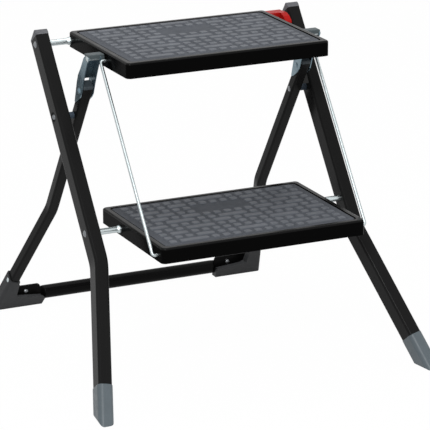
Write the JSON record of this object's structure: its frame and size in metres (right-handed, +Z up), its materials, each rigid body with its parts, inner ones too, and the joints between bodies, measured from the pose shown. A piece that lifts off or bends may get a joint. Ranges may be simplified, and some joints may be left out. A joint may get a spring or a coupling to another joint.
{
  "type": "folding step stool",
  "caption": "Folding step stool: crossing tube legs, matted steel trays joined by link rods, knee brackets behind the platform, a rear crossbar and a red lock lever.",
  "frame": {"origin": "floor level, at the middle of the open stool's bounding box", "axes": "+X to the stool's left-to-right across the treads, +Y from the lower step towards the rear crossbar, +Z up"},
  "size_m": [0.5366, 0.5477, 0.4779],
  "materials": {
    "leg_paint": "satin",
    "tray_paint": "gloss",
    "zinc_steel": "zinc plated",
    "mat_rubber": "matte",
    "grey_plastic": "matte",
    "foot_plastic": "matte",
    "shoe_plastic": "matte",
    "red_plastic": "satin"
  },
  "bodies": {
    "rear_frame": {"collar_rivet_left": "zinc_steel", "collar_rivet_right": "zinc_steel", "heel_rivet_left": "zinc_steel", "heel_rivet_right": "zinc_steel", "rear_crossbar": "leg_paint", "rear_leg_left": "leg_paint", "rear_leg_plug_left": "grey_plastic", "rear_leg_plug_right": "grey_plastic", "rear_leg_right": "leg_paint", "rear_shoe_left": "shoe_plastic", "rear_shoe_right": "shoe_plastic"},
    "front_frame": {"front_foot_left": "foot_plastic", "front_foot_right": "foot_plastic", "front_leg_left": "leg_paint", "front_leg_plug_left": "grey_plastic", "front_leg_plug_right": "grey_plastic", "front_leg_right": "leg_paint", "lever_stop": "zinc_steel", "lower_axle": "zinc_steel", "lower_sleeve_left": "zinc_steel", "lower_sleeve_right": "zinc_steel", "pivot_pin_left": "zinc_steel", "pivot_pin_right": "zinc_steel", "pivot_spacer_left": "zinc_steel", "pivot_spacer_right": "zinc_steel", "top_axle": "zinc_steel", "top_sleeve_left": "zinc_steel", "top_sleeve_right": "zinc_steel"},
    "knee_left": {"knee_bracket_left": "zinc_steel", "knee_cap_left": "grey_plastic", "knee_pin_left": "zinc_steel", "knee_rivet_left": "zinc_steel"},
    "knee_right": {"knee_bracket_right": "zinc_steel", "knee_cap_right": "grey_plastic", "knee_pin_right": "zinc_steel", "knee_rivet_right": "zinc_steel"},
    "link_left": {"link_clip_lower_left": "zinc_steel", "link_clip_upper_left": "zinc_steel", "link_rod_left": "zinc_steel"},
    "link_right": {"link_clip_lower_right": "zinc_steel", "link_clip_upper_right": "zinc_steel", "link_rod_right": "zinc_steel"},
    "lock_lever": {"lock_lever": "red_plastic"},
    "platform": {"platform_brace": "tray_paint", "platform_mat": "mat_rubber", "platform_tray": "tray_paint"},
    "lower_step": {"step_brace": "tray_paint", "step_mat": "mat_rubber", "step_tray": "tray_paint"}
  },
  "joints": [
    {"name": "rear_frame_fold", "type": "hinge", "parent": "front_frame", "child": "rear_frame", "pos_m": [0, 0.02091, 0.36372], "axis": [-1, 0, 0], "range_deg": [0, 67.3]},
    {"name": "platform_fold", "type": "hinge", "parent": "front_frame", "child": "platform", "pos_m": [0, 0.0857, 0.457], "axis": [1, 0, 0], "range_deg": [0, 49.3]},
    {"name": "lower_step_fold", "type": "hinge", "parent": "front_frame", "child": "lower_step", "pos_m": [0, -0.09161, 0.21998], "axis": [1, 0, 0], "range_deg": [0, 49.3]},
    {"name": "link_left_swing", "type": "hinge", "parent": "platform", "child": "link_left", "pos_m": [-0.16, -0.0468, 0.457], "axis": [-1, 0, 0], "range_deg": [0, 49.3]},
    {"name": "link_right_swing", "type": "hinge", "parent": "platform", "child": "link_right", "pos_m": [0.16, -0.0468, 0.457], "axis": [-1, 0, 0], "range_deg": [0, 49.3]},
    {"name": "knee_left_swing", "type": "hinge", "parent": "rear_frame", "child": "knee_left", "pos_m": [-0.1735, -0.00698, 0.40618], "axis": [1, 0, 0], "range_deg": [0, 167.3]},
    {"name": "knee_right_swing", "type": "hinge", "parent": "rear_frame", "child": "knee_right", "pos_m": [0.1735, -0.00698, 0.40618], "axis": [1, 0, 0], "range_deg": [0, 167.3]},
    {"name": "lock_lever_turn", "type": "hinge", "parent": "front_frame", "child": "lock_lever", "pos_m": [0.175, 0.0857, 0.457], "axis": [-1, 0, 0], "range_deg": [0, 18]}
  ],
  "couplings": [
    {"joint": "platform_fold", "follows": "rear_frame_fold", "ratio": 0.73062},
    {"joint": "lower_step_fold", "follows": "rear_frame_fold", "ratio": 0.73062},
    {"joint": "link_left_swing", "follows": "rear_frame_fold", "ratio": 0.73062},
    {"joint": "link_right_swing", "follows": "rear_frame_fold", "ratio": 0.73062},
    {"joint": "knee_left_swing", "follows": "rear_frame_fold", "ratio": 2.4831},
    {"joint": "knee_right_swing", "follows": "rear_frame_fold", "ratio": 2.4831}
  ]
}
